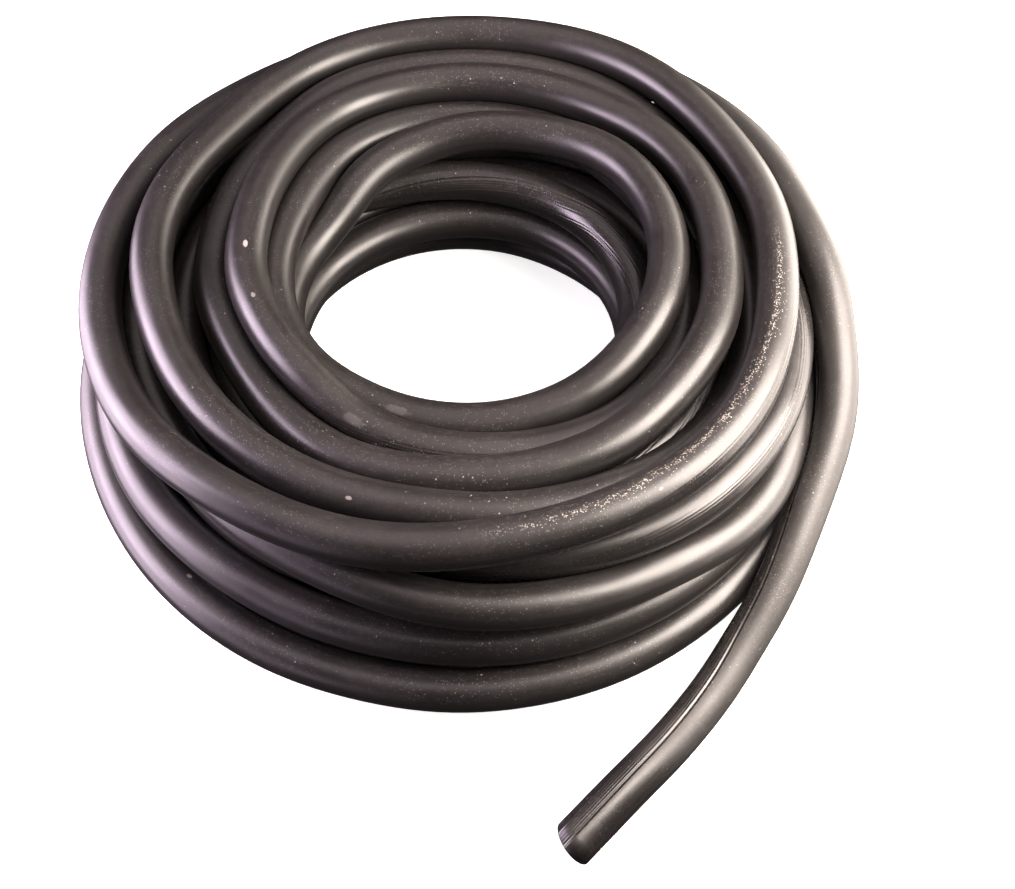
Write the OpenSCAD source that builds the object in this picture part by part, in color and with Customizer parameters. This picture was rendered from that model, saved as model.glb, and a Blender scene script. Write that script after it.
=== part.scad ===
// Coiled soaker hose: one long rubber hose wound into a loose round coil of
// about 22 turns, with its outer end led off the side and along the floor.
// The coil's axis is Z and the floor is z = 0. Millimetres.

/* [Hose] */
// Outside diameter of the hose
hose_od = 16; // [12:0.5:20]
// Wall thickness of the hose
wall = 2; // [1.5:0.25:3]
// Length of the straight, open stretch at the outer end, along its middle
outer_cut_len = 30; // [20:1:34]
// Angle by which the outer end's slanted cut leans over, so that its top juts out
cut_lean = 33; // [0:1:40]
// Angle by which the outer end's cut is turned sideways
cut_turn = 17; // [0:1:25]
// Length of the straight, open cut at the inner end
inner_cut_len = 25; // [15:1:28]

/* [Coil] */
// Radius of the lowest outer turn, in hose diameters
coil_r_out = 9; // [8.9:0.05:9.05]
// Radius of the lowest inner turn, in hose diameters
coil_r_in = 4.7; // [4.5:0.1:5]
// Height of the middle of the top turn, in hose diameters
coil_top = 4.95; // [4.8:0.05:5.2]

/* [Outer turn] */
// Radius of the last outer turn, which is loose on the right and closes in on the left
outer_turn_r = 138; // [137:0.5:139]
// Height of the middle of the last outer turn above the floor
outer_turn_z = 47; // [46:0.5:48]
// Direction in which the last outer turn leaves the coil, in degrees
leave_angle = -14; // [-15:0.5:-13]

/* [Finish] */
// Colour of the rubber
rubber = [0.09, 0.09, 0.09];
// Facets of the big circles
big_fn = 180; // [90:30:240]

/* [Hidden] */

d = hose_od;
r = d / 2;
bore_r = r - wall;
k = d / 16;                 // the routes below are drawn for a 16 mm hose

// Middles of the hose in the coil's outline, [radius, height] in hose diameters.
side_out = [[coil_r_out, 0.5], [8.3, 1.6], [8.0, 2.7], [7.9, 3.85], [7.75, coil_top]];
crown    = [[6.8, coil_top - 0.1], [5.85, coil_top - 0.15], [4.85, coil_top - 0.45]];
side_in  = [[4.25, 3.6], [4.15, 2.75], [3.95, 1.8], [coil_r_in, 0.5]];
outline  = concat(side_out, crown, side_in);

// Outer end: where its cut face stands, and the way the hose points there.
end_dir = 226;
end_pos = [40, -200, 8] * k;
function heading(a) = [cos(a), sin(a), 0];
end_start = end_pos - outer_cut_len * heading(end_dir);

// Inner end: where it leaves the coil's inner side, and the way it points.
in_dir = 34;
in_start = [27, -47, 8] * k;
in_back = 38 * k;

// Free stretch between the coil and the outer end: it runs down the coil's side
// and then along the floor. Round numbers for a 16 mm hose.
free_pts = [
    [139, -45, 42.5], [136, -58, 35.5], [131, -73, 29], [125, -89, 23],
    [118, -104, 18], [110, -117, 13], [102, -129, 9.5], [92, -143, 8], [81, -157, 8]
];
outer_turn_mid = [8, 3, outer_turn_z] * k;
leave = outer_turn_mid + outer_turn_r * k * heading(leave_angle);
leave_dir = [sin(leave_angle), -cos(leave_angle), 0];
route = concat(
    [leave - 12 * k * leave_dir, leave],
    [for (p = free_pts) p * k],
    [end_start - 13 * k * heading(end_dir), end_start, end_start + 13 * k * heading(end_dir)]
);

sides = 12;
steps = 2;

function unit(v) = v / norm(v);
// Catmull-Rom curve between b and c
function cr(a, b, c, e, t) =
    0.5 * ((2 * b) + (c - a) * t + (2 * a - 5 * b + 4 * c - e) * t * t
        + (3 * b - a - 3 * c + e) * t * t * t);
n_seg = len(route) - 3;
curve = concat(
    [for (i = [0 : n_seg - 1]) for (s = [0 : steps - 1])
        cr(route[i], route[i + 1], route[i + 2], route[i + 3], s / steps)],
    [end_start]
);
last = len(curve) - 1;
function dir_at(i) =
    i == 0 ? leave_dir :
    i == last ? heading(end_dir) :
    unit(curve[i + 1] - curve[i - 1]);
function ring(p, t) =
    let (u = unit(cross(t, [0, 0, 1])), w = cross(u, t))
    [for (j = [0 : sides - 1]) let (a = (j + 0.5) * 360 / sides) p + r / cos(180 / sides) * (cos(a) * u + sin(a) * w) * 0.985];
rings = [for (i = [0 : last]) ring(curve[i], dir_at(i))];
skin = [for (q = rings) for (p = q) p];
faces = concat(
    [[for (j = [0 : sides - 1]) j]],
    [for (i = [0 : last - 1]) for (j = [0 : sides - 1])
        let (a = i * sides + j, b = i * sides + (j + 1) % sides)
        [a, a + sides, b + sides, b]],
    [[for (j = [sides - 1 : -1 : 0]) last * sides + j]]
);

// Cross-section of the wound coil: rounded by the turns on its outline, flat where
// the lowest turns stand on the floor.
module coil_section() {
    for (q = outline) translate(q * d) circle(r = r, $fn = 48);
    polygon([for (q = outline) q * d]);
    polygon([[coil_r_in * d, 0], [coil_r_out * d, 0], [coil_r_out * d, r], [coil_r_in * d, r]]);
}

// The wound turns, with the start of the last outer turn and of the inner end.
module coil() {
    color(rubber) {
        rotate_extrude($fn = big_fn) coil_section();
        translate(outer_turn_mid) rotate([0, 0, leave_angle])
            rotate_extrude(angle = 236, $fn = big_fn)
                translate([outer_turn_r * k, 0]) circle(r = r, $fn = 48);
        translate(in_start) rotate([0, 0, in_dir]) rotate([0, -90, 0])
            cylinder(r = r, h = in_back, $fn = 48);
    }
}

// The free stretch of hose from the coil's side to the outer end.
module tail() {
    color(rubber) polyhedron(points = skin, faces = faces, convexity = 6);
}

// A straight, open cut of hose that points along the given heading.
module open_cut(p, dir, len) {
    translate(p) rotate([0, 0, dir]) rotate([0, 90, 0])
        difference() {
            cylinder(r = r, h = len, $fn = 64);
            translate([0, 0, -1]) cylinder(r = bore_r, h = len + 2, $fn = 64);
        }
}

// The outer end was cut by hand with snips, so its face is slanted.
module outer_end() {
    color(rubber) intersection() {
        open_cut(end_start, end_dir, outer_cut_len + 1.2 * d);
        translate(end_pos) rotate([0, 0, end_dir - cut_turn]) rotate([0, cut_lean, 0])
            translate([-6 * d, -3 * d, -3 * d]) cube(6 * d);
    }
}

module inner_end() {
    color(rubber) open_cut(in_start, in_dir, inner_cut_len);
}

coil();
tail();
outer_end();
inner_end();
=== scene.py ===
"""A coil of black soaker hose: one continuous rubber hose of 14.7 m, wound by hand."""
import math
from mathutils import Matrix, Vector
import bpy
import numpy as np


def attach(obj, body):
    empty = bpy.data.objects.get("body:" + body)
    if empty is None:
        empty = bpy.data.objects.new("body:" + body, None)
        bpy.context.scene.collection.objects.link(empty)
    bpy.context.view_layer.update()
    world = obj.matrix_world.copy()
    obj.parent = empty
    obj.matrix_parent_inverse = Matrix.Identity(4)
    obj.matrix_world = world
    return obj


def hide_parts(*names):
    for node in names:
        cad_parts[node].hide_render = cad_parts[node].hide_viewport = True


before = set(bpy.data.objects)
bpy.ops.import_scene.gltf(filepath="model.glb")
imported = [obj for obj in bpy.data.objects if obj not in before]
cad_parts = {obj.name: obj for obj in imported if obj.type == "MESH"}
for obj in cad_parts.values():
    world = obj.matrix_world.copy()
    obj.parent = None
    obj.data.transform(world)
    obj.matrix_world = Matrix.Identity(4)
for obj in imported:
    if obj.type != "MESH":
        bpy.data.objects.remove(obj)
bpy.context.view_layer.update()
scene = bpy.context.scene

D = 0.016                                    # outside diameter of the hose
R = D / 2
BORE = 0.006                                 # radius of its bore

# ------------------------------------------------------------------ camera
cam_data = bpy.data.cameras.new("camera")
cam_data.sensor_fit = "HORIZONTAL"
cam_data.sensor_width = 36.0
cam_data.lens = 36.0 * 1500.0 / 1015.0
cam_data.clip_start, cam_data.clip_end = 0.01, 20.0
cam = bpy.data.objects.new("camera", cam_data)
scene.collection.objects.link(cam)
cam.location = (1.11 * D, -23.1 * D, 31.43 * D)
cam.rotation_euler = (math.radians(90.0 - 56.2), 0.0, 0.0)
scene.camera = cam

# ---------------------------------------------------------------- the hose's route
# Each key is (angle in degrees, radius, height), in hose diameters, counted from the
# free end inwards: 0 is +X, 90 the back (+Y), 270 the front (-Y). The angle runs on
# through all the turns. Keys of full weight are fixed, the others only guide the
# turns that lie underneath, which the relaxation below packs against each other.
STEP = 5.0
PH_START, PH_END = -50.0, 7880.0
KEYS = []
def K(rows, w=1.0):
    for a, r, z in rows:
        KEYS.append((a, r, z, w))
def hid(rows, layer, w=0.0):
    for i, (a, r) in enumerate(rows):
        KEYS.append((a, r, layer_z(layer, a), w))
        if i + 1 < len(rows):
            b, q = rows[i + 1]
            n = int((b - a) // 30)
            for j in range(1, n):
                t = j / n
                KEYS.append((a + (b - a) * t, r + (q - r) * t, layer_z(layer, a + (b - a) * t), w))
def layer_z(k, a):
    s = max(0.0, np.sin(np.radians(a)))
    return 0.5 + (k - 1) * (1.1 - 0.2 * s ** 1.5)

# the free stretch that comes down the side (joined to the cut end at END_POS in route() below)
TAIL = [(-79.5,12.8,.5),(-68,11.50,.5),(-65,11.24,.5),(-62,11.0,.5),(-59,10.77,.5),(-56,10.56,.5),(-53,10.35,.54),(-50.5,10.2,.62),
 (-47.5,10.04,.76),(-44,9.93,.95),(-41.5,9.82,1.13),(-36.5,9.60,1.42),(-30.5,9.42,1.75),(-27,9.34,1.95),(-22.5,9.24,2.22),(-17,9.12,2.6),
 (-14,9.05,2.85),(-7.5,8.88,3.3),(-3,8.74,3.6),(2,8.6,3.9),(10,8.42,4.15),(20,8.25,4.3),(30,8.2,4.25),(45,8.35,4.0),(70,8.95,3.5),
 (90,9.15,3.25),(112,9.05,3.3),(130,8.55,3.75),(142,8.25,4.1),(155,8.3,4.35),(180,8.37,4.4),(200,8.34,4.5),(212,8.32,4.65),(222,8.24,4.8)]
T1 = [(233,8.12,4.9),(245,8.08,4.95),(260,7.98,4.95),(275,7.8,4.95),(290,7.72,4.95),(310,7.74,4.95),(325,7.66,4.95),(340,7.46,4.95),
 (355,7.34,4.9),(370,7.42,4.8),(381,7.6,4.65),(391,7.8,4.5),(402,8.0,4.35),(415,8.25,4.2),(430,8.44,4.12),(450,8.42,4.1),(470,8.33,4.1),
 (485,8.1,4.15),(496,7.8,4.25),(508,7.5,4.5),(520,7.35,4.7),(535,7.25,4.8),(545,7.14,4.8),(557,7.0,4.75),(575,6.93,4.7)]
T2 = [(600,6.85,4.6),(620,6.82,4.5),(640,6.9,4.4),(655,7.0,4.25),(670,7.1,4.0),(690,7.1,3.8),(720,6.8,3.7),(750,6.95,3.7),(780,7.3,3.75),
 (810,7.45,3.8),(835,7.35,3.8),(850,6.8,3.8),(866,6.45,3.9),(880,6.1,4.0),(900,5.85,4.05),(920,5.5,4.1),(935,5.4,4.1)]
T3 = [(950,5.5,4.15),(965,5.8,4.2),(980,5.85,4.3),(1000,5.95,4.35),(1020,6.05,4.45),(1040,6.05,4.6),(1062,6.14,4.7),(1080,6.1,4.7),
 (1110,6.35,4.5),(1135,6.55,4.2),(1154,6.6,4.1),(1170,6.5,4.1),(1190,6.4,4.15),(1205,6.2,4.25),(1220,5.6,4.4),(1237,5.25,4.65),
 (1252,5.05,4.75),(1265,4.98,4.75)]
T4 = [(1285,4.87,4.65),(1305,4.82,4.4),(1320,4.75,4.15),(1340,4.85,4.0),(1356,4.95,3.9),(1380,5.2,3.85),(1400,5.4,3.8),(1440,5.3,3.7),
 (1470,5.45,3.7),(1500,5.6,3.7),(1530,5.65,3.7),(1560,5.35,3.75),(1590,4.7,3.8),(1620,4.46,3.8),(1650,4.27,3.75)]
T5 = [(1680,4.08,3.65),(1700,4.02,3.55),(1715,4.06,3.58),(1730,4.2,3.7),(1750,4.44,4.0),(1775,4.7,4.36),(1790,4.84,4.48),(1800,4.92,4.5),
 (1820,5.1,4.4),(1850,5.3,4.1),(1870,5.18,4.0),(1885,5.03,3.98),(1900,4.84,3.88),(1914,4.66,3.74),(1930,4.5,3.5),(1950,4.38,3.18),(1980,4.33,2.9)]
for s in (TAIL, T1, T2, T3, T4, T5):
    K(s)
# fourth layer, inside to outside, and down the outer side
K([(2070,4.4,2.85),(2160,4.28,3.0),(2230,4.15,2.95),(2250,4.22,2.92),(2275,4.5,2.88),(2300,4.9,2.85),(2330,5.3,2.9)], 0.6)
hid([(2360,5.55),(2400,5.7),(2430,5.8),(2520,6.1),(2610,6.3),(2700,6.6),(2760,6.9)], 4)
K([(2785,7.15,3.85),(2800,7.4,3.75),(2820,7.72,3.75),(2835,7.95,3.75),(2850,8.03,3.7),(2870,7.95,3.6)], 0.6)
hid([(2900,7.75),(2970,7.95),(3060,7.6),(3090,7.7)], 4)
K([(3115,7.9,3.75),(3128,8.05,3.72),(3140,8.25,3.6),(3152,8.4,3.35),(3170,8.35,3.0),(3185,8.42,2.75),(3193,8.55,2.45),(3205,8.62,2.15)], 0.6)
# third layer, outside to inside
hid([(3240,8.35),(3330,7.7),(3420,7.4)], 3)
K([(3440,7.3,2.8),(3466,7.3,2.8),(3486,7.5,2.8),(3499,7.7,2.72),(3515,7.75,2.6)], 0.5)
hid([(3545,7.6),(3600,7.45),(3690,7.3),(3780,7.3),(3870,6.9),(4050,6.4),(4230,5.9),(4410,5.4),(4560,4.95),(4630,4.65)], 3)
K([(4680,4.4,1.9),(4710,4.16,1.88),(4740,4.0,1.85),(4770,3.92,1.8),(4800,4.02,1.78),(4830,4.26,1.75),(4860,4.48,1.7),(4890,4.62,1.65)], 0.6)
# second layer, inside to outside
hid([(4950,4.6),(5130,5.1),(5310,5.9),(5490,6.3),(5670,6.9),(5760,7.15),(5850,7.9),(5880,8.2)], 2)
K([(5920,8.5,1.6),(5950,8.65,1.55),(5970,8.56,1.55),(5984,8.4,1.55),(6000,8.28,1.52),(6015,8.26,1.48),(6030,8.3,1.42),(6045,8.38,1.38),(6070,8.5,1.42)], 0.35)
# first layer, outside to inside, with the inner end peeling into the hole
hid([(6210,8.9),(6300,9.07)], 1)
K([(6330,9.07,.5),(6360,9.0,.5),(6375,8.93,.5),(6390,9.0,.5),(6410,9.0,.5),(6440,8.86,.5)], 0.6)
hid([(6480,8.8),(6570,8.6),(6660,8.3),(6750,7.85),(6930,7.4),(7110,6.85),(7290,6.3),(7470,5.85),(7500,5.7),(7530,5.48)], 1)
K([(7560,5.2,.5),(7580,4.96,.5),(7600,4.76,.5),(7620,4.66,.5),(7650,4.68,.5),(7680,4.76,.5),(7710,4.92,.5),(7740,5.0,.5)], 0.6)
K([(7760,4.94,.5),(7780,4.74,.5),(7800,4.44,.5),(7820,4.06,.5),(7840,3.68,.5),(7855,3.45,.5),(7880,3.35,.5)], 1.0)

def pchip(x, y, q):
    h = np.diff(x); s = np.diff(y) / h
    m = np.zeros(len(x))
    ok = s[1:] * s[:-1] > 0
    w1 = 2 * h[1:] + h[:-1]; w2 = h[1:] + 2 * h[:-1]
    m[1:-1][ok] = ((w1 + w2)[ok]) / (w1[ok] / s[:-1][ok] + w2[ok] / s[1:][ok])
    m[0], m[-1] = s[0], s[-1]
    i = np.clip(np.searchsorted(x, q) - 1, 0, len(h) - 1)
    t = (q - x[i]) / h[i]
    return ((1 + 2 * t) * (1 - t) ** 2 * y[i] + t * (1 - t) ** 2 * h[i] * m[i]
            + t * t * (3 - 2 * t) * y[i + 1] + t * t * (t - 1) * h[i] * m[i + 1])

def relax(iters=300):
    keys = sorted({k[0]: k for k in KEYS}.values())
    a = np.arange(PH_START, PH_END + 1e-6, STEP)
    kp, kr, kz, kw = (np.array([k[i] for k in keys]) for i in range(4))
    X = np.stack([pchip(kp, kr, a), pchip(kp, kz, a)], 1); X0 = X.copy()
    w = np.interp(a, kp, kw)
    nb = int(round(360 / STEP)); n = -(-len(a) // nb)
    I = np.arange(nb)[:, None] + nb * np.arange(n)[None, :]
    valid = I < len(a); Ic = np.where(valid, I, 0)
    pair = valid[:, :, None] & valid[:, None, :] & ~np.eye(n, dtype=bool)[None]
    wi = 1.0 / (1 + 6 * w[Ic])
    share = wi[:, :, None] / (wi[:, :, None] + wi[:, None, :])
    free = w < 0.5
    soft = np.where(w < 0.95, 0.8 * (1 - w), 0.0)
    for it in range(iters):
        X += ((0.25 if it < iters * 0.7 else 0.1) * w)[:, None] * (X0 - X)
        X[free] += 0.01 * (X0[free] - X[free])
        X[free, 1] -= 0.002
        S = X.copy()
        S[2:-2] = (-X[:-4] + 4 * X[1:-3] + 10 * X[2:-2] + 4 * X[3:-1] - X[4:]) / 16.0
        X = S
        E = X - X0                                    # the hidden turns keep an easy bend
        X[2:-2] += soft[2:-2, None] * (0.125 * (E[:-4] + E[4:]) + 0.25 * (E[1:-3] + E[3:-1]) - 0.75 * E[2:-2])
        for sub in range(3):
            P = X[Ic]
            D = P[:, :, None, :] - P[:, None, :, :]
            d = np.sqrt((D ** 2).sum(-1) + 1e-9)
            pen = np.where(pair, np.clip(1.008 - d, 0, None), 0)
            M = ((pen * share)[..., None] * D / d[..., None] * 0.5).sum(2)
            X[Ic[valid]] += M[valid]
            X[:, 1] = np.maximum(X[:, 1], 0.5)
    P = X[Ic]; D = P[:, :, None, :] - P[:, None, :, :]
    d = np.where(pair, np.sqrt((D ** 2).sum(-1) + 1e-9), 9)
    return a, X, float(d.min())

def spline(P, q):
    """natural cubic spline through the points P by chord length, at lengths q"""
    s = np.r_[0, np.cumsum(np.linalg.norm(np.diff(P, axis=0), axis=1))]
    n = len(s); h = np.diff(s)
    A = np.zeros(n); B = np.ones(n); C = np.zeros(n); R = np.zeros((n, P.shape[1]))
    A[1:-1] = h[:-1]; C[1:-1] = h[1:]; B[1:-1] = 2 * (h[:-1] + h[1:])
    R[1:-1] = 6 * ((P[2:] - P[1:-1]) / h[1:, None] - (P[1:-1] - P[:-2]) / h[:-1, None])
    for i in range(1, n):
        f = A[i] / B[i - 1]; B[i] -= f * C[i - 1]; R[i] -= f * R[i - 1]
    M = np.zeros_like(R); M[-1] = R[-1] / B[-1]
    for i in range(n - 2, -1, -1):
        M[i] = (R[i] - C[i] * M[i + 1]) / B[i]
    if np.isscalar(q):
        q = np.linspace(0, s[-1], int(round(s[-1] / q)) + 1)
    i = np.clip(np.searchsorted(s, q) - 1, 0, n - 2); t = (q - s[i])[:, None]; hi = h[i][:, None]
    u = hi - t
    return (M[i] * u ** 3 + M[i + 1] * t ** 3) / (6 * hi) + (P[i] / hi - M[i] * hi / 6) * u + (P[i + 1] / hi - M[i + 1] * hi / 6) * t

def smooth(P, sigma):
    """Gaussian smoothing along the hose that keeps the curve's size; the ends stay put"""
    k = int(4 * sigma); g = np.exp(-0.5 * (np.arange(-k, k + 1) / sigma) ** 2); g /= g.sum()
    def G(Q):
        E = np.vstack([2 * Q[0] - Q[k:0:-1], Q, 2 * Q[-1] - Q[-2:-k - 2:-1]])
        return np.stack([np.convolve(E[:, c], g, mode="valid") for c in range(3)], 1)
    a = G(P)
    return a + G(P - a)

END_POS = np.array([40.0, -200.0, 8.0]) / 16; END_DIR = np.radians(226.0)
IN_POS = np.array([27.0, -47.0, 8.0]) / 16; IN_DIR = np.radians(34.0); IN_LEN = 25.0 / 16

def route(step=0.125):
    """centre line from the outer cut end to the inner cut end, in hose diameters"""
    a, X, gap = relax()
    t = np.radians(a)
    C = np.stack([X[:, 0] * np.cos(t), X[:, 0] * np.sin(t), X[:, 1]], 1)
    h = np.array([np.cos(END_DIR), np.sin(END_DIR), 0])
    head = [END_POS - h * s for s in (0, 0.47, 0.94, 1.41, 1.875)]
    for b, r, z in TAIL:
        if -69 < b < -48:
            head.append(np.array([r * np.cos(np.radians(b)), r * np.sin(np.radians(b)), z]))
    g = np.array([np.cos(IN_DIR), np.sin(IN_DIR), 0])
    m = a <= 7840
    tail = [IN_POS + g * s for s in (0, 0.5, 1.0, IN_LEN)]
    first = a >= -46
    P = np.vstack([head, C[first & m], tail])
    P = spline(P, step)
    return smooth(P, 0.55 / step), gap

# ------------------------------------------------------------------ hose mesh
LINE, GAP = route()                          # hose diameters, every 2 mm
RING = 5.0 / 16
C = spline(LINE, RING)
N = len(C)
T = np.gradient(C, axis=0); T /= np.linalg.norm(T, axis=1)[:, None]
T[0] = -np.array([np.cos(END_DIR), np.sin(END_DIR), 0.0])
T[-1] = np.array([np.cos(IN_DIR), np.sin(IN_DIR), 0.0])
S = np.r_[0, np.cumsum(np.linalg.norm(np.diff(C, axis=0), axis=1))]        # length run, in diameters
OUT = np.cross(T, [0, 0, 1.0]); OUT /= np.linalg.norm(OUT, axis=1)[:, None]  # away from the coil's axis
UP = np.cross(OUT, T)
PHI = np.degrees(np.unwrap(np.arctan2(C[:, 1], C[:, 0])))                 # turns on from about -79
PHI += -78.7 - PHI[0]

# Where the band of extrusion lines lies round the hose: 0 outwards, 90 on top, 180 inwards.
# The hose was twisted a little as it was wound.
EDGE_KEYS = [(-79, 84), (-72, 88), (-60, 95), (-42, 116), (-20, 150), (20, 190), (70, 225), (150, 238), (215, 240), (250, 256), (275, 280),
             (300, 309), (320, 323), (340, 322), (370, 300), (420, 275), (480, 250), (600, 242), (680, 255), (760, 245), (980, 238), (1015, 275),
             (1030, 300), (1050, 290), (1090, 245), (1280, 235), (1310, 300), (1335, 332), (1360, 334), (1400, 285), (1450, 240), (1960, 235),
             (2030, 275), (2100, 345), (2167, 403), (2181, 420), (2193, 431), (2211, 456), (2228, 466), (2251, 482), (2300, 520), (2400, 610),
             (2440, 680), (2480, 750), (2520, 800), (2600, 955), (2760, 960), (2800, 1020), (2830, 1056), (2850, 1062), (2900, 1110),
             (3000, 1250), (3060, 1315), (9000, 1315)]
def edge_angle(phi):
    kp = np.array([k[0] for k in EDGE_KEYS], float); kv = np.array([k[1] for k in EDGE_KEYS], float)
    return pchip(kp, kv, np.clip(phi, kp[0], kp[-1]))
EDGE = edge_angle(PHI)

# The band's profile, in millimetres: the sharp ridge at 0 bounds it, and grooves and
# low ridges run beside it up to 86 degrees round.
LINES = [(0.0, 0.16, 1.5), (5.5, -0.30, 3.4), (12.0, 0.05, 1.5), (15.5, -0.13, 1.5), (19.0, 0.05, 1.4), (22.5, -0.14, 1.5),
         (26.0, 0.05, 1.4), (29.5, -0.12, 1.5), (33.0, 0.04, 1.5), (37.0, -0.16, 1.7), (41.5, 0.04, 1.6), (50.0, -0.06, 5.0),
         (60.5, 0.05, 1.5), (64.0, -0.17, 1.7), (68.0, 0.05, 1.5), (72.0, -0.13, 1.7), (76.5, 0.05, 1.6), (81.0, -0.10, 2.0)]
def profile(b):
    g = np.zeros_like(b)
    for c, h, w in LINES:
        g += h * np.exp(-0.5 * ((b - c) / (w * 0.72)) ** 2)
    return g
band_deg = np.r_[np.arange(-6, 88, 1.55)]
rest_deg = np.arange(band_deg[-1] + 7.5, 354 - 3, 7.6)
BETA = np.r_[band_deg, rest_deg]             # degrees round from the band's edge
M = len(BETA)

ang = np.radians(EDGE[:, None] + BETA[None, :])
rng = np.random.default_rng(7)
def wobble(n, sigma, amp):
    k = int(4 * sigma); g = np.exp(-0.5 * (np.arange(-k, k + 1) / sigma) ** 2); g /= np.sqrt((g ** 2).sum())
    return amp * np.convolve(rng.standard_normal(n + 2 * k), g, mode="valid")
DEPTH = np.interp(PHI, [-79, 20, 60, 2100, 2160, 2260, 2320], [1.5, 1.0, 0.55, 0.45, 0.45, 0.45, 0.45])   # clearest on the loose end and the inner wall
rad = 8.0 + profile(BETA)[None, :] * (DEPTH * (1.0 + wobble(N, 14, 0.16)))[:, None]
rad = rad - 0.03 + wobble(N, 30, 0.025)[:, None]                          # very slightly uneven
oval = wobble(N, 40, 0.05)
rad = rad + oval[:, None] * np.cos(2 * ang)
rad = np.minimum(rad, 8.12)
radial = np.cos(ang)[..., None] * OUT[:, None, :] + np.sin(ang)[..., None] * UP[:, None, :]
V = C[:, None, :] * 16 + rad[..., None] * radial                          # millimetres
V[..., 2] = np.maximum(V[..., 2], 0.0)

# The outer end was cut at a slant: its rim lies in a plane, faded out along 20 mm.
CUT_N = np.array([math.cos(math.radians(33)) * math.cos(math.radians(209)), math.cos(math.radians(33)) * math.sin(math.radians(209)), -math.sin(math.radians(33))])
AX = -T[0]
def slant(Q, u):
    """move points Q (mm) along the end's axis, at distance u (mm) from the cut"""
    off = Q - C[0] * 16
    across = off - (off @ AX)[..., None] * AX
    t = -(across @ CUT_N) / (AX @ CUT_N)
    return Q + (t * np.clip(1 - u / 22.0, 0, 1))[..., None] * AX
near = S * 16 < 24
V[near] = slant(V[near], (S[near] * 16)[:, None] * np.ones((1, M)))

verts = [V.reshape(-1, 3)]
count = N * M
def ring_ids(i):
    return np.arange(M) + i * M
quads = []
i0 = np.arange(N - 1)[:, None] * M; j = np.arange(M)[None, :]; j1 = (j + 1) % M
quads.append(np.stack([i0 + j, i0 + j1, i0 + M + j1, i0 + M + j], -1).reshape(-1, 4))
def end_rings(i, sign, slanted):
    """rings that close an end: a worn rim, the flat cut, the bore's mouth, its wall and a blind bottom"""
    global count
    out = []
    ax = -T[i] * sign                                                     # out of the hose
    plan = [(7.85, 0.10), (7.6, 0.16), (6.9, 0.17), (6.25, 0.15), (6.04, 0.08), (6.0, -0.3), (6.0, -6.0), (6.0, -13.0), (6.0, -20.0), (3.0, -20.4), (0.6, -20.5)]
    for r_mm, d_mm in plan:
        ring = C[i] * 16 + r_mm * radial[i] + ax * d_mm
        if slanted:
            ring = slant(ring, np.full(M, max(0.0, -d_mm)))
        ring[:, 2] = np.maximum(ring[:, 2], 0.0)
        out.append(ring)
    return out
for i, sign, slanted in ((0, 1, True), (N - 1, -1, False)):
    prev = ring_ids(i)
    for ring in end_rings(i, sign, slanted):
        ids = count + np.arange(M); count += M
        verts.append(ring)
        q = np.stack([prev, np.roll(prev, -1), np.roll(ids, -1), ids], -1)
        quads.append(q[:, ::-1] if sign > 0 else q)
        prev = ids
    # close the bore's bottom with one vertex fan
    verts.append(np.mean(verts[-1], axis=0)[None, :]); tip = count; count += 1
    tri = np.stack([prev, np.roll(prev, -1), np.full(M, tip)], -1)
    quads.append(tri[:, ::-1] if sign > 0 else tri)
allv = np.vstack(verts) / 1000.0
faces = []
for q in quads:
    faces.extend(q[:, ::-1].tolist())             # wound so that the normals point out of the rubber
me = bpy.data.meshes.new("hose")
me.from_pydata(allv.tolist(), [], faces)
me.update()
me.polygons.foreach_set("use_smooth", np.ones(len(me.polygons), bool))
hose = bpy.data.objects.new("hose", me)
scene.collection.objects.link(hose)

# what the material needs to know about each point: where it lies along and round the hose
def attribute(name, values, fill=0.0):
    a = me.attributes.new(name, "FLOAT", "POINT")
    v = np.full(len(me.vertices), fill, np.float32); v[:N * M] = np.asarray(values, np.float32).reshape(-1)
    a.data.foreach_set("value", v)
along = (S * D)[:, None] * np.ones((1, M))
world_ang = (EDGE[:, None] + BETA[None, :] + 180) % 360 - 180             # 0 outwards, 90 on top
in_band = np.clip((BETA + 2) / 3, 0, 1) * np.clip((88 - BETA) / 6, 0, 1)
attribute("along", along)
attribute("round_x", np.cos(ang) * R)
attribute("round_y", np.sin(ang) * R)
attribute("band", np.ones((N, 1)) * in_band[None, :])

# A line of chalky crumbs on the outer top turn, and small smudges, given one by one.
# CRUMBS: (turn angle, angle round the hose); MARKS: (turn angle, angle round, mm long, mm wide, strength)
CRUMBS = [(276, 80), (286, 86), (292, 86), (302, 95), (314, 103), (322, 108), (328, 108), (334, 101), (346, 92), (362, 91)]
kc = np.array(CRUMBS, float)
line_at = np.interp(PHI, kc[:, 0], kc[:, 1])
dev = (world_ang - line_at[:, None] + 180) % 360 - 180
attribute("crumb_off", np.radians(dev) * 8.0)                               # mm round the hose from the line
attribute("crumb_on", (np.clip((PHI - 272) / 14, 0, 1) * np.clip((366 - PHI) / 14, 0, 1))[:, None] * np.ones((1, M)))
# the loose end: a little more dust along its upper stretch, which also paints a sheen that widens its highlight there,
# and less near the cut, which paints shade on the end's dark face
attribute("end_dust_and_shade", np.interp(PHI, [-79, -72, -66, -56, -35, -20, 30, 60], [-0.8, -0.5, 0.8, 1.6, 1.3, 0.9, 0.4, 0.0])[:, None] * np.ones((1, M)))
MARKS = [(1259, 97, 1.9, 0.9, 0.8), (1278, 86, 1.2, 0.8, 0.4), (1324, 62, 4.6, 2.0, 0.10), (1692, 69, 5.5, 1.8, 0.10), (611, 57, 1.2, 0.8, 0.5),
         (6346, 110, 1.3, 0.9, 0.35), (589, 35, 1.4, 0.9, -0.5), (302, 60, 1.0, 0.6, 0.3)]
def mark_place(phi, ang_):
    i = int(np.argmin(np.abs(PHI - phi))); a_ = math.radians(ang_)
    return C[i] * D + R * (math.cos(a_) * OUT[i] + math.sin(a_) * UP[i]), T[i]

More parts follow.
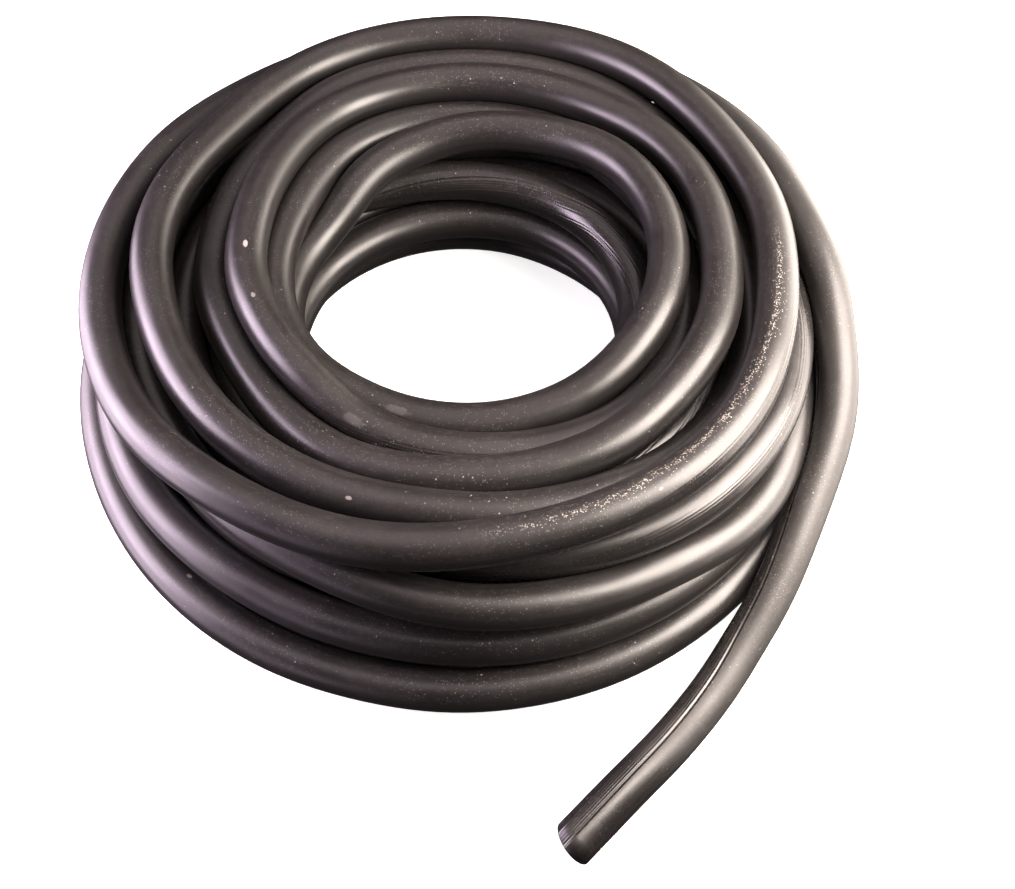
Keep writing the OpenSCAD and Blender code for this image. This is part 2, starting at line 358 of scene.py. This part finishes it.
# ------------------------------------------------------------------ materials
def nodes_of(name):
    m = bpy.data.materials.new(name); m.use_nodes = True
    nt = m.node_tree
    for n in list(nt.nodes):
        nt.nodes.remove(n)
    return m, nt
class G:
    """small helper to write node graphs briefly"""
    def __init__(self, nt): self.nt = nt
    def n(self, kind, **kw):
        ins = kw.pop("ins", {})
        node = self.nt.nodes.new(kind)
        for k, v in kw.items(): setattr(node, k, v)
        for k, v in ins.items():
            if isinstance(v, bpy.types.NodeSocket): self.nt.links.new(v, node.inputs[k])
            else: node.inputs[k].default_value = v
        return node
    def math(self, op, a, b=None, c=None, clamp=False):
        node = self.nt.nodes.new("ShaderNodeMath"); node.operation = op; node.use_clamp = clamp
        for i, v in enumerate((a, b, c)):
            if v is None: continue
            if isinstance(v, bpy.types.NodeSocket): self.nt.links.new(v, node.inputs[i])
            else: node.inputs[i].default_value = v
        return node.outputs[0]
    def ramp(self, x, lo, hi, a=0.0, b=1.0, smooth=True):
        node = self.nt.nodes.new("ShaderNodeMapRange"); node.interpolation_type = "SMOOTHSTEP" if smooth else "LINEAR"
        self.nt.links.new(x, node.inputs["Value"])
        for k, v in (("From Min", lo), ("From Max", hi), ("To Min", a), ("To Max", b)): node.inputs[k].default_value = v
        return node.outputs["Result"]
    def mix(self, f, a, b):
        node = self.nt.nodes.new("ShaderNodeMix"); node.data_type = "RGBA"
        for k, v in ((0, f), (6, a), (7, b)):
            if isinstance(v, bpy.types.NodeSocket): self.nt.links.new(v, node.inputs[k])
            else: node.inputs[k].default_value = v
        return node.outputs[2]

rubber, nt = nodes_of("rubber_black")
g = G(nt)
attr = lambda name: g.n("ShaderNodeAttribute", attribute_name=name).outputs["Fac"]
s_along, r_x, r_y, a_band, crumb_off, crumb_on, end_dust_and_shade = (attr(k) for k in ("along", "round_x", "round_y", "band", "crumb_off", "crumb_on", "end_dust_and_shade"))
obj = g.n("ShaderNodeTexCoord").outputs["Object"]
# hose coordinates: x along the hose, y and z round it, in metres
hose_co = g.n("ShaderNodeCombineXYZ", ins={0: s_along, 1: r_x, 2: r_y}).outputs[0]
def scaled(k):
    return g.n("ShaderNodeVectorMath", operation="MULTIPLY", ins={0: hose_co, 1: k}).outputs[0]
def noise(vec, scale, detail=3.0, rough=0.55):
    return g.n("ShaderNodeTexNoise", ins={"Vector": vec, "Scale": scale, "Detail": detail, "Roughness": rough}).outputs["Fac"]
streaks = noise(scaled((6.0, 420.0, 420.0)), 1.0, 2.0, 0.6)          # long thin drag marks from the die
cloud = noise(obj, 38.0, 2.0, 0.6)                                   # broad dull and shiny patches
grain = noise(obj, 2600.0, 2.0, 0.7)                                 # fine skin of the rubber
mid = noise(obj, 420.0, 2.0, 0.6)
# dust specks: small pale dots, thinned out by a broad noise
def dots(scale, size, keep_above, vec=None):
    v = g.n("ShaderNodeTexVoronoi", ins={"Vector": vec or obj, "Scale": scale, "Randomness": 1.0})
    dot = g.ramp(v.outputs["Distance"], size, size * 0.5)
    pick = g.n("ShaderNodeSeparateColor", ins={0: v.outputs["Color"]}).outputs[0]
    return g.math("MULTIPLY", dot, g.math("GREATER_THAN", pick, keep_above))
patch = noise(obj, 22.0, 1.5, 0.65)
geo = g.n("ShaderNodeNewGeometry")
nz = g.n("ShaderNodeSeparateXYZ", ins={0: geo.outputs["Normal"]}).outputs[2]
upward = g.ramp(nz, 0.10, 0.85)
place = g.math("MULTIPLY", upward, g.ramp(patch, 0.36, 0.62, 0.15, 1.0))
fine = g.math("MULTIPLY", dots(1250.0, 0.32, 0.62), 0.26)
coarse = g.math("MULTIPLY", dots(330.0, 0.12, 0.72), 0.7)
dust = g.math("MULTIPLY", g.math("MAXIMUM", fine, coarse), place)
mottle = g.ramp(g.math("ADD", g.math("MULTIPLY", mid, 0.35), g.math("ADD", g.math("MULTIPLY", noise(obj, 1150.0, 2.0, 0.6), 0.35), g.math("MULTIPLY", grain, 0.30))), 0.40, 0.62)
mottle = g.math("MULTIPLY", mottle, g.ramp(streaks, 0.32, 0.68, 0.65, 1.35, smooth=False))
# dust film, heavier on upward faces; the loose end's term adds painted sheen on its upper stretch and takes the film
# away near the cut as painted shade
dust_film_and_end_light = g.math("MULTIPLY", g.math("ADD", g.math("MULTIPLY", mottle, g.ramp(cloud, 0.3, 0.7, 0.35, 1.0)), 0.25), g.math("ADD", g.math("MULTIPLY", upward, 0.8), g.math("MULTIPLY", end_dust_and_shade, 0.55)))
# the crumb line: dense in the middle, a few strays beside it
off = g.math("ABSOLUTE", g.math("ADD", crumb_off, g.math("MULTIPLY", g.math("SUBTRACT", noise(obj, 160.0, 2.0, 0.5), 0.5), 2.2)))
core = g.math("MULTIPLY", g.ramp(off, 1.5, 0.3), crumb_on)
strays = g.math("MULTIPLY", g.ramp(off, 5.0, 0.5), crumb_on)
crumbs = g.math("MAXIMUM", g.math("MULTIPLY", dots(1900.0, 0.58, 0.55), core), g.math("MULTIPLY", dots(1100.0, 0.30, 0.70), strays))
# smudges and flecks
marks = None
dark_marks = None
for phi_, ang_, long_mm, wide_mm, k_ in MARKS:
    at, along_dir = mark_place(phi_, ang_)
    d_ = g.n("ShaderNodeVectorMath", operation="SUBTRACT", ins={0: obj, 1: tuple(at)}).outputs[0]
    u_ = g.math("MULTIPLY", g.n("ShaderNodeVectorMath", operation="DOT_PRODUCT", ins={0: d_, 1: tuple(along_dir)}).outputs["Value"], 1000.0 / long_mm)
    full = g.math("MULTIPLY", g.n("ShaderNodeVectorMath", operation="LENGTH", ins={0: d_}).outputs["Value"], 1000.0 / wide_mm)
    # squared distance with the long way shortened
    dd = g.math("ADD", g.math("SUBTRACT", g.math("MULTIPLY", full, full), g.math("MULTIPLY", g.math("MULTIPLY", u_, u_), (long_mm / wide_mm) ** 2)), g.math("MULTIPLY", u_, u_))
    m_ = g.math("MULTIPLY", g.ramp(g.math("ADD", dd, g.math("MULTIPLY", g.math("SUBTRACT", mid, 0.5), 1.6)), 1.1, 0.35), abs(k_))
    if k_ > 0: marks = m_ if marks is None else g.math("MAXIMUM", marks, m_)
    else: dark_marks = m_ if dark_marks is None else g.math("MAXIMUM", dark_marks, m_)
base = g.mix(g.ramp(streaks, 0.35, 0.7), (0.0075, 0.0068, 0.0067, 1), (0.0110, 0.0099, 0.0096, 1))
# the dust film's grey-brown, which on the loose end also paints a sheen on its upper stretch and, held back near the
# cut, a shade
base = g.mix(g.math("MULTIPLY", dust_film_and_end_light, 0.040, clamp=True), base, (0.27, 0.235, 0.215, 1))
base = g.mix(g.math("MULTIPLY", dust, 0.55, clamp=True), base, (0.60, 0.56, 0.52, 1))
base = g.mix(g.math("MULTIPLY", crumbs, 0.42, clamp=True), base, (0.74, 0.68, 0.60, 1))
base = g.mix(g.math("MULTIPLY", marks, 0.8, clamp=True), base, (0.50, 0.46, 0.44, 1))
base = g.mix(dark_marks, base, (0.004, 0.004, 0.004, 1))
rough = g.math("ADD", g.ramp(cloud, 0.3, 0.7, 0.33, 0.41), g.math("MULTIPLY", g.math("SUBTRACT", mid, 0.5), 0.10))
rough = g.math("ADD", g.math("SUBTRACT", rough, g.math("MULTIPLY", a_band, 0.09)), g.math("MULTIPLY", g.math("MULTIPLY", end_dust_and_shade, 0.11), g.math("SUBTRACT", 1.0, a_band)))
powder = g.math("MAXIMUM", g.math("MAXIMUM", dust, crumbs), marks)
rough = g.math("ADD", rough, g.math("MULTIPLY", powder, 0.35), clamp=True)
height = g.math("ADD", g.math("MULTIPLY", grain, 0.35), g.math("ADD", g.math("MULTIPLY", streaks, 0.35), g.math("MULTIPLY", powder, 0.6)))
bump = g.n("ShaderNodeBump", ins={"Strength": 0.22, "Distance": 0.00012, "Height": height})
bsdf = g.n("ShaderNodeBsdfPrincipled", ins={"Base Color": base, "Roughness": rough, "Normal": bump.outputs[0], "IOR": 1.52, "Specular IOR Level": 0.5})
out = g.n("ShaderNodeOutputMaterial", ins={"Surface": bsdf.outputs[0]})
me.materials.append(rubber)

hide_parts("coil", "tail", "outer_end", "inner_end")
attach(hose, "root")
LENGTH = float(S[-1] * D)

# ------------------------------------------------------------------ floor and light
fm = bpy.data.meshes.new("floor")
bx = 30.0
fm.from_pydata([(-bx, -bx, 0), (bx, -bx, 0), (bx, bx, 0), (-bx, bx, 0)], [], [(0, 1, 2, 3)])
floor = bpy.data.objects.new("floor", fm); scene.collection.objects.link(floor)
floor.location = (0, 0, -0.0002)
white, fnt = nodes_of("floor_white")
h = G(fnt)
fb = h.n("ShaderNodeBsdfPrincipled", ins={"Base Color": (0.9, 0.9, 0.9, 1), "Roughness": 0.8, "Emission Color": (1, 1, 1, 1), "Emission Strength": 0.80})
fb.inputs["Specular IOR Level"].default_value = 0.0
h.n("ShaderNodeOutputMaterial", ins={"Surface": fb.outputs[0]})
fm.materials.append(white)
floor.visible_glossy = False
floor.visible_diffuse = False
floor.visible_shadow = False

def area(name, at, toward, width, height, radiance, colour):
    """a softbox at a point, facing another point, upright"""
    ld = bpy.data.lights.new(name, "AREA"); ld.shape = "RECTANGLE"; ld.size = width; ld.size_y = height
    ld.energy = radiance * math.pi * width * height; ld.color = colour
    o = bpy.data.objects.new(name, ld); scene.collection.objects.link(o)
    o.location = at
    o.rotation_euler = (Vector(toward) - Vector(at)).to_track_quat("-Z", "Y").to_euler()
    return o
area("lamp_right", (0.265, -0.085, 0.24), (0.06, -0.04, 0.05), 0.25, 0.23, 29.0, (1.0, 0.885, 0.80))
area("glow_right", (0.37, 0.11, 0.05), (0.0, 0.06, 0.05), 0.56, 0.30, 8.0, (1.0, 0.885, 0.80))
area("glow_back", (0.30, 0.25, 0.15), (0.02, 0.03, 0.07), 0.30, 0.30, 3.6, (1.0, 0.885, 0.80))
area("lamp_left", (-0.42, -0.03, 0.21), (-0.05, -0.04, 0.05), 0.30, 0.28, 16.0, (1.0, 0.81, 0.985))
area("glow_low", (-0.34, -0.42, 0.05), (0.0, -0.12, 0.03), 0.30, 0.20, 1.3, (1.0, 0.81, 0.985))
area("glow_left", (-0.46, 0.0, 0.04), (0.0, 0.0, 0.04), 0.54, 0.34, 7.5, (1.0, 0.81, 0.985))
world = bpy.data.worlds.new("studio"); scene.world = world; world.use_nodes = True
wt = world.node_tree
for n_ in list(wt.nodes): wt.nodes.remove(n_)
w = G(wt)
wz = w.n("ShaderNodeVectorMath", operation="DOT_PRODUCT", ins={0: w.n("ShaderNodeTexCoord").outputs["Generated"], 1: (0.05, 0.17, 0.984)}).outputs["Value"]
sky = w.mix(w.ramp(wz, 0.60, 1.0), (0.06, 0.052, 0.051, 1), (1.78, 1.52, 1.48, 1))
bg = w.n("ShaderNodeBackground", ins={"Color": sky, "Strength": 1.0})
w.n("ShaderNodeOutputWorld", ins={"Surface": bg.outputs[0]})
scene.view_settings.view_transform = "Standard"
scene.view_settings.look = "None"
scene.view_settings.exposure = 0.0
